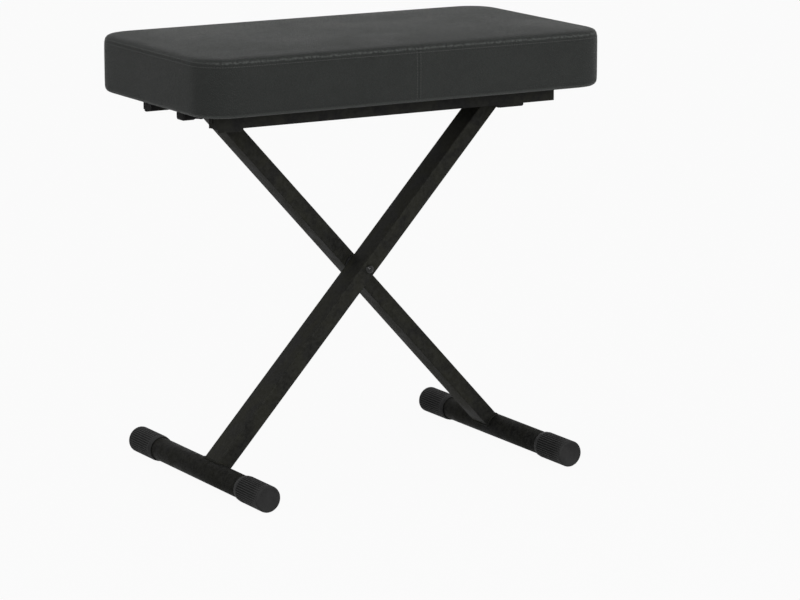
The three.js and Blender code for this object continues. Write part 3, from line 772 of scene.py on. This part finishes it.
def inflate(obj, cap, frames=20):
    """Runs cloth with air pressure in the form and keeps each point's move, up to the cap."""
    scene = bpy.context.scene
    group = obj.vertex_groups.new(name="board_edge")
    group.add([v.index for v in obj.data.vertices if v.co.z < COVER_LOW.z + 0.012], 1.0, "REPLACE")
    rest = [v.co.copy() for v in obj.data.vertices]
    cloth = obj.modifiers.new("cover", "CLOTH")
    assign(
        cloth.settings, quality=5, mass=0.3, tension_stiffness=60, compression_stiffness=60, shear_stiffness=30,
        bending_stiffness=30, vertex_group_mass=group.name, use_pressure=True,
        uniform_pressure_force=sizes().pressure,
    )
    cloth.settings.effector_weights.gravity = 0.0
    cloth.collision_settings.use_collision = False
    assign(cloth.point_cache, frame_start=1, frame_end=frames)
    for number in range(1, frames + 1):
        scene.frame_set(number)
    evaluated = obj.evaluated_get(bpy.context.evaluated_depsgraph_get())
    moved = [v.co.copy() for v in evaluated.data.vertices]
    obj.modifiers.clear()
    obj.vertex_groups.clear()
    scene.frame_set(1)
    for vertex, old, new in zip(obj.data.vertices, rest, moved):
        step = new - old
        if step.length > cap:
            step = step.normalized() * cap
        vertex.co = old + step
    obj.data.update()


def boundary_loop(form):
    """The vertices of the form's one open edge, in order, anticlockwise from above."""
    edges = {e for e in form.edges if e.is_boundary}
    loop = list(edges.pop().verts)
    while edges:
        following = next((e for e in loop[-1].link_edges if e in edges), None)
        if following is None:
            raise RuntimeError("the cushion's lower edge isn't one closed loop")
        edges.discard(following)
        loop.append(following.other_vert(loop[-1]))
    loop.pop()
    area = sum(a.co.x * b.co.y - b.co.x * a.co.y for a, b in pairs(loop))
    return loop if area > 0 else loop[::-1]


def turn_under(obj):
    """Cuts the form above its bottom, turns the cover in under the board and hollows the board's place."""
    low, hem = COVER_LOW.z, sizes().hem_width
    bed = BOARD_HIGH.z + 0.0002
    profile = [
        (0.0, 0.0100), (0.0001, 0.0080), (0.0006, 0.0049), (0.0023, 0.0023), (0.0049, 0.0006), (0.0080, 0.0),
        (0.0120, 0.0), (0.0170, 0.0), (hem, 0.0), (hem + 0.0004, 0.0006), (hem, 0.0012), (0.0060, 0.0013),
        (0.0038, 0.0028), (0.0022, 0.0062), (0.0019, bed - low),
    ]
    with edited(obj.data) as form:
        bmesh.ops.bisect_plane(
            form, geom=form.verts[:] + form.edges[:] + form.faces[:], dist=1e-6,
            plane_co=(0, 0, low + 0.0125), plane_no=(0, 0, 1), clear_inner=True,
        )
        bmesh.ops.remove_doubles(form, verts=[v for v in form.verts if v.is_boundary], dist=0.0004)
        previous = boundary_loop(form)
        places = [v.co.copy() for v in previous]
        count = len(places)
        outward = []
        for i in range(count):
            along = places[(i + 4) % count] - places[i - 4]
            outward.append(Vector((along.y, -along.x, 0)).normalized())
        for step, (inset, rise) in enumerate(profile):
            ring = []
            for place, out in zip(places, outward):
                x, y, _ = place - out * inset
                corner = min(abs(out.x), abs(out.y)) * 1.42
                fold = 0.0007 * corner * abs(math.sin(math.atan2(out.y, out.x) * 22)) if 5 < step < 9 else 0.0
                ring.append(form.verts.new((x, y, low + rise - fold)))
            for (a, b), (c, d) in zip(pairs(previous), pairs(ring)):
                form.faces.new((a, c, d, b))
            previous = ring
        centre = form.verts.new((0, 0, bed))
        for a, b in pairs(previous):
            form.faces.new((a, centre, b))
        bmesh.ops.recalc_face_normals(form, faces=form.faces)


def fit_box(obj):
    """Stretches the form slightly so that it fills the cover's box exactly."""
    points = [v.co for v in obj.data.vertices]
    low = [min(p[i] for p in points) for i in (0, 1)] + [COVER_LOW.z]
    high = [max(p[i] for p in points) for i in range(3)]
    wide, deep, tall = [(COVER_HIGH[i] - COVER_LOW[i]) / (high[i] - low[i]) for i in range(3)]
    for vertex in obj.data.vertices:
        x, y, z = vertex.co
        vertex.co = (x * wide, y * deep, COVER_LOW.z + (z - COVER_LOW.z) * tall)
    obj.data.update()


class BENCH_OT_cushion(bpy.types.Operator):
    """Makes the padded seat: inflated cover, turned-in hem and the recess for its board."""

    bl_idname = "bench.cushion"
    bl_label = "Cushion"

    def execute(self, context):
        obj = cushion_blank()
        modified(obj, "even_points", "REMESH", mode="VOXEL", voxel_size=sizes().voxel * 1)
        modified(obj, "soften", "SMOOTH", iterations=4)
        inflate(obj, 0.005)
        modified(obj, "finer", "SUBSURF", levels=1, render_levels=1)
        fit_box(obj)
        turn_under(obj)
        smooth(painted(obj, finish("leatherette")), 50)
        on_body(obj, SEAT, "leatherette", "seat_cover", "foam_core")
        return {"FINISHED"}


class BENCH_OT_stitching(bpy.types.Operator):
    """Sews the joined side band with a row of stitches on each side of its seam, and two rows round the top."""

    bl_idname = "bench.stitching"
    bl_label = "Stitching"

    def execute(self, context):
        with edited(bpy.data.objects["cushion"].data, write=False) as form:
            surface = BVHTree.FromBMesh(form)
        sink = sizes().stitch_radius * 0.25
        rows = []
        for offset in (-0.0026, 0.0026):
            heights = [COVER_LOW.z + 0.004 + (COVER_HIGH.z - COVER_LOW.z - 0.015) * i / 59 for i in range(60)]
            starts = [Vector((sizes().seam_x + offset, COVER_LOW.y - 0.05, z)) for z in heights]
            rows.append(([(start, Vector((0, 1, 0))) for start in starts], False))
        for z in STITCH_ROWS:
            ways = [(p, Vector((*out, 0))) for p, out in outline(0.0, spacing=0.003)]
            rows.append(([(Vector((*p, z)) + way * 0.03, -way) for p, way in ways], True))
        points, edges = [], []
        for rays, closed in rows:
            first = len(points)
            for start, way in rays:
                hit, normal, _, _ = surface.ray_cast(start, way)
                points.append(hit + normal * sink)
            edges += path_edges(first, len(points), closed)
        obj = mesh_object("seam_stitches", points, edges=edges)
        grown(obj, stitch_tree, "thread", Pitch=sizes().stitch_pitch, Thread_Radius=sizes().stitch_radius)
        on_body(obj, SEAT, "leatherette")
        return {"FINISHED"}


class BENCH_OT_staples(bpy.types.Operator):
    """Drives the staples that hold the hem to the board."""

    bl_idname = "bench.staples"
    bl_label = "Staples"

    def execute(self, context):
        points = [(*p, COVER_LOW.z - 0.0001) for p, _ in outline(0.0145)]
        obj = mesh_object("hem_staples", points, edges=path_edges(0, len(points)))
        grown(obj, staple_tree, "fastener_zinc", Pitch=sizes().staple_pitch)
        on_body(obj, SEAT, "fastener_zinc")
        return {"FINISHED"}


def cross_cutter(radius, head):
    """A tapering cross that sinks a cross drive into a screw's head."""
    long, short = radius * 0.58, radius * 0.13
    arm = [(long, -short), (long, short), (short, short)]
    loops = []
    for height, scale in ((-head * 1.3, 1.06), (-head * 0.3, 0.5)):
        turns = [Matrix.Rotation(math.pi / 2 * k, 2) for k in range(4)]
        loops.append([(*(turn @ Vector(p) * scale), height) for turn in turns for p in arm])
    return lofted("drive_cutter", loops)


class BENCH_OT_board(bpy.types.Operator):
    """Finishes the board under the padding, its stop block and the screws."""

    bl_idname = "bench.board"
    bl_label = "Board and screws"

    def execute(self, context):
        dressed("seat_board", "plywood", SEAT, 0.0006)
        dressed("stop_block", "buffer_rubber", SEAT, 0.0008, 3)
        nodes = [f"rail_screw_{i}" for i in range(1, 9)] + ["block_screw_1", "block_screw_2"]
        low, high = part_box(nodes[0])
        radius = (high.x - low.x) / 2
        head, shank = 0.003, 0.0022
        tip = high.z - low.z - head
        profile = [
            (0, -head), (radius * 0.55, -head), (radius * 0.84, -head * 0.80), (radius * 0.97, -head * 0.45),
            (radius, -head * 0.12), (radius * 0.97, 0), (shank, 0), (shank, tip - shank), (0, tip),
        ]
        screw = turned("screw_blank", profile, 24)
        cutter = cross_cutter(radius, head)
        modified(screw, "drive", "BOOLEAN", object=cutter, operation="DIFFERENCE", solver="EXACT")
        points = [(*centre_of(node).to_2d(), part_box(node)[0].z + head) for node in nodes]
        obj = mesh_object("seat_screws", points)
        grown(obj, scatter_tree, "fastener_zinc", Screw=screw)
        for spare in (screw, cutter):
            bpy.data.objects.remove(spare)
        smooth(obj, 30)
        on_body(obj, SEAT, "fastener_zinc", *nodes)
        return {"FINISHED"}


def centre_of(node):
    low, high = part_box(node)
    return (low + high) / 2


def rail_stop(node):
    """Closes the open left end of a channel rail with a pressed-in plate that has a shallow dimple."""
    low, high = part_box(node)
    gap, thick, reach = RAIL_WALL + 0.0001, 0.0022, 0.0004
    half_y = (high.y - low.y) / 2 - gap
    half_z = (RAIL_DEPTH - gap) / 2
    middle = Vector(((low.y + high.y) / 2, high.z - gap - half_z))
    ring = [middle + p for arc in rounded_corners(half_y, half_z, 0.0018, 7) for p, _ in arc]

    def dimple(radius):
        return [middle + (p - middle).normalized() * radius for p in ring]

    levels = ((thick, ring), (0, ring), (0, dimple(0.0042)), (0.0009, dimple(0.0034)))
    plate = lofted(f"{node}_end", [[(low.x + reach + depth, *p) for p in loop] for depth, loop in levels])
    obj = eased(plate, 0.0003, angle=30.0)
    mark_edges(smooth(painted(obj, finish("rail_steel"))))
    on_body(obj, SEAT, "rail_steel")


class BENCH_OT_rails(bpy.types.Operator):
    """Finishes the two channel rails under the seat and closes their left ends."""

    bl_idname = "bench.rails"
    bl_label = "Rails"

    def execute(self, context):
        for node in ("front_rail", "rear_rail"):
            dressed(node, "rail_steel", SEAT, 0.0005)
            rail_stop(node)
        return {"FINISHED"}


# The steelwork


class BENCH_OT_legs(bpy.types.Operator):
    """Finishes the leg tubes, foot tubes and cross tubes."""

    bl_idname = "bench.legs"
    bl_label = "Legs and feet"

    def execute(self, context):
        for leg, body in LEGS:
            dressed(leg, "leg_steel", body, 0.0003)
        for leg, body in LEGS:
            dressed(f"{leg}_foot_tube", "foot_steel", body)
        dressed("rear_leg_cross_tube", "leg_steel", REAR_FRAME)
        dressed("front_leg_cross_tube", "bright_steel", FRONT_FRAME)
        dressed("notch_rod", "bright_steel", FRONT_FRAME, 0.0003)
        return {"FINISHED"}


def saddle_path(start, end, tube, leg_y):
    """Where a leg's outer faces meet the round tube at its start, as a closed path."""
    along = (end - start).normalized()
    across = Vector((-along.z, 0, along.x))
    arcs = rounded_corners(LEG_HALF_WIDTH, LEG_HALF_DEPTH, LEG_CORNER, 4)
    path = []
    for p, after in pairs([p for arc in arcs for p, _ in arc]):
        steps = max(1, round((after - p).length / 0.0015))
        for i in range(steps):
            spot = p.lerp(after, i / steps)
            spot += spot.normalized() * 0.0003
            reach = math.sqrt(max(tube ** 2 - spot.y ** 2, 0.0)) + 0.0006
            place = start + along * reach + across * spot.y
            path.append(Vector((place.x, leg_y + spot.x, place.z)))
    return path


class BENCH_OT_welds(bpy.types.Operator):
    """Lays the weld beads round both ends of each leg."""

    bl_idname = "bench.welds"
    bl_label = "Welds"

    def execute(self, context):
        for leg, body in LEGS:
            foot, top = centre_of(f"{leg}_foot_tube"), centre_of(f"{leg}_cross_tube")
            foot.y = top.y = 0.0
            points, edges = [], []
            for start, end, tube in ((foot, top, FOOT_TUBE_RADIUS), (top, foot, CROSS_TUBE_RADIUS)):
                first = len(points)
                points += saddle_path(start, end, tube, centre_of(leg).y)
                edges += path_edges(first, len(points))
            obj = mesh_object(f"{leg}_welds", points, edges=edges)
            grown(obj, weld_tree, "leg_steel", Bead_Radius=sizes().weld_radius)
            on_body(obj, body, "leg_steel")
        return {"FINISHED"}


def foot_cap(leg, body, end, way):
    """A ribbed cap that is turned as one closed form, open towards the middle of its foot."""
    node = f"{leg}_cap_{end}"
    low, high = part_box(node)
    radius, length = (high.z - low.z) / 2, high.y - low.y
    x, z = (low.x + high.x) / 2, (low.z + high.z) / 2
    outer = low.y if way > 0 else high.y
    bore = FOOT_TUBE_RADIUS + 0.0003
    mouth = bore + 0.0010
    profile = [(0, 0.0003), (radius - 0.0034, 0.0003), (radius - 0.0028, 0.0), (radius - 0.0016, 0.0001)]
    profile += [(radius - 0.0006, 0.0006), (radius - 0.0001, 0.0014), (radius, 0.0022)]
    profile += [(radius, length * share) for share in (0.04, 0.06, 0.3, 0.6, 0.86, 0.885)]
    profile += [
        (radius, length - 0.0066), (radius - 0.0002, length - 0.0056), (mouth + 0.0003, length - 0.0016),
        (mouth, length - 0.0006), (mouth - 0.0004, length), (bore + 0.0003, length),
        (bore, length - 0.0005), (bore, 0.0065), (bore - 0.0005, 0.0060), (0, 0.0060),
    ]
    obj = turned(f"{node}_ribbed", profile, sizes().rib_count * 6, (x, outer, z), -90 * way)
    grown(
        obj, rib_tree, "cap_rubber", Centre=(x, outer + (length / 2 - 0.002) * way, z),
        Rib_Count=sizes().rib_count, Rib_Depth=sizes().rib_depth,
        Half_Length=length / 2 - 0.0050, Inner_Radius=radius - 0.0008,
    )
    mark_edges(smooth(obj, 40), 25.0)
    on_body(obj, body, "cap_rubber", node)


class BENCH_OT_caps(bpy.types.Operator):
    """Moulds the ribbed rubber caps on the ends of the feet."""

    bl_idname = "bench.caps"
    bl_label = "Foot caps"

    def execute(self, context):
        for leg, body in LEGS:
            foot_cap(leg, body, "front", 1)
            foot_cap(leg, body, "rear", -1)
        return {"FINISHED"}


class BENCH_OT_fastenings(bpy.types.Operator):
    """Finishes the bolts, washers, nuts, bushes, spacer and buffers."""

    bl_idname = "bench.fastenings"
    bl_label = "Bolts and small parts"

    def execute(self, context):
        for material, body, nodes in (
            ("blackened_steel", REAR_FRAME, ("centre_bolt",)),
            ("fastener_zinc", REAR_FRAME, ("centre_washer", "centre_nut")),
            ("fastener_zinc", SEAT, ("pivot_bolt", "pivot_washer_front", "pivot_washer_rear", "pivot_nut")),
            ("nylon", REAR_FRAME, ("pivot_bush_front", "pivot_bush_rear", "leg_spacer")),
            ("nylon", FRONT_FRAME, ("rod_bush_front", "rod_bush_rear")),
        ):
            for node in nodes:
                dressed(node, material, body)
        for node in ("buffer_front", "buffer_rear"):
            dressed(node, "buffer_rubber", FRONT_FRAME, 0.0006, 3)
        return {"FINISHED"}


# The stage


def seen_directly(tree):
    """1 for rays that come from the camera or from glossy or clear surfaces, and 0 for those that light."""
    path = add(tree, "LightPath", {})
    direct = calc(tree, "ADD", path["Is Camera Ray"], path["Is Glossy Ray"])
    return calc(tree, "ADD", direct, path["Is Transmission Ray"], clamp=True)


def bare_tree(owner):
    owner.use_nodes = True
    owner.node_tree.nodes.clear()
    return owner.node_tree


def background_material(name, tone, lift):
    """A pale surface that the camera and reflections see brighter than it lights the object."""
    material = bpy.data.materials.new(name)
    tree = bare_tree(material)
    diffuse = add(tree, "BsdfDiffuse", {"Color": rgba([tone] * 3)})[0]
    glow = add(tree, "Emission", {"Color": (1, 1, 1, 1), "Strength": 1.0})[0]
    mix = {0: product(tree, seen_directly(tree), lift), 1: diffuse, 2: glow}
    add(tree, "OutputMaterial", {"Surface": add(tree, "MixShader", mix)[0]})
    return material


def area_light(name, place, target, size, power):
    light = bpy.data.lights.new(name, "AREA")
    assign(light, shape="RECTANGLE", size=size[0], size_y=size[1], energy=power)
    way = Vector(target) - Vector(place)
    assign(linked(name, light), location=place, rotation_euler=way.to_track_quat("-Z", "Y").to_euler())


class BENCH_OT_stage(bpy.types.Operator):
    """Sets the floor, the studio lights and the camera."""

    bl_idname = "bench.stage"
    bl_label = "Stage"

    def execute(self, context):
        scene = context.scene
        scene.view_settings.view_transform = "Standard"
        corners = ((-20, -20), (20, -20), (20, 20), (-20, 20))
        floor = mesh_object("studio_floor", [(x, y, -0.0003) for x, y in corners], [(0, 1, 2, 3)])
        painted(floor, background_material("pale_floor", 0.38, 0.945))
        scene.world = bpy.data.worlds.new("studio")
        tree = bare_tree(scene.world)
        strength = spread(tree, seen_directly(tree), 0.0, 1.0, 0.60, 1.0)
        light = add(tree, "Background", {"Color": (1, 1, 1, 1), "Strength": strength})[0]
        add(tree, "OutputWorld", {"Surface": light})
        area_light("key_light", (-0.7, -3.45, 1.7), (0, 0, 0.3), (1.0, 1.6), 42)
        area_light("low_light", (0.9, -3.5, 0.3), (0, 0, 0.45), (0.25, 0.4), 16)
        area_light("side_light", (-3.2, -0.4, 1.4), (0, 0, 0.3), (1.6, 2.0), 4)
        camera = bpy.data.cameras.new("camera")
        assign(camera, sensor_width=36, sensor_fit="HORIZONTAL", lens=158.45, clip_end=100)
        scene.camera = linked("camera", camera)
        scene.camera.location = (-2.2731, -3.9806, 1.1843)
        scene.camera.rotation_euler = (math.radians(78.10), 0, math.radians(-30.51))
        return {"FINISHED"}


OPERATORS = (
    BENCH_OT_stage, BENCH_OT_cushion, BENCH_OT_stitching, BENCH_OT_staples, BENCH_OT_board, BENCH_OT_rails,
    BENCH_OT_legs, BENCH_OT_welds, BENCH_OT_caps, BENCH_OT_fastenings,
)


class BENCH_PT_panel(bpy.types.Panel):
    """Lists the bench's pieces, sizes and colours."""

    bl_idname = "BENCH_PT_panel"
    bl_label = "Folding Bench"
    bl_space_type = "VIEW_3D"
    bl_region_type = "UI"
    bl_category = "Bench"

    def draw(self, context):
        layout = self.layout
        for operator in OPERATORS:
            layout.operator(operator.bl_idname)
        for group in (context.scene.bench_sizes, context.scene.bench_colours):
            box = layout.box()
            for name in group.__annotations__:
                box.prop(group, name)


CLASSES = (BenchSizes, BenchColours, *OPERATORS, BENCH_PT_panel)


def register():
    for item in CLASSES:
        bpy.utils.register_class(item)
    bpy.types.Scene.bench_sizes = PointerProperty(type=BenchSizes)
    bpy.types.Scene.bench_colours = PointerProperty(type=BenchColours)


def unregister():
    del bpy.types.Scene.bench_colours
    del bpy.types.Scene.bench_sizes
    for item in reversed(CLASSES):
        bpy.utils.unregister_class(item)


def main():
    register()
    bpy.ops.bench.stage()
    bpy.ops.bench.cushion()
    bpy.ops.bench.stitching()
    bpy.ops.bench.staples()
    bpy.ops.bench.board()
    bpy.ops.bench.rails()
    bpy.ops.bench.legs()
    bpy.ops.bench.welds()
    bpy.ops.bench.caps()
    bpy.ops.bench.fastenings()


if __name__ == "__main__":
    main()
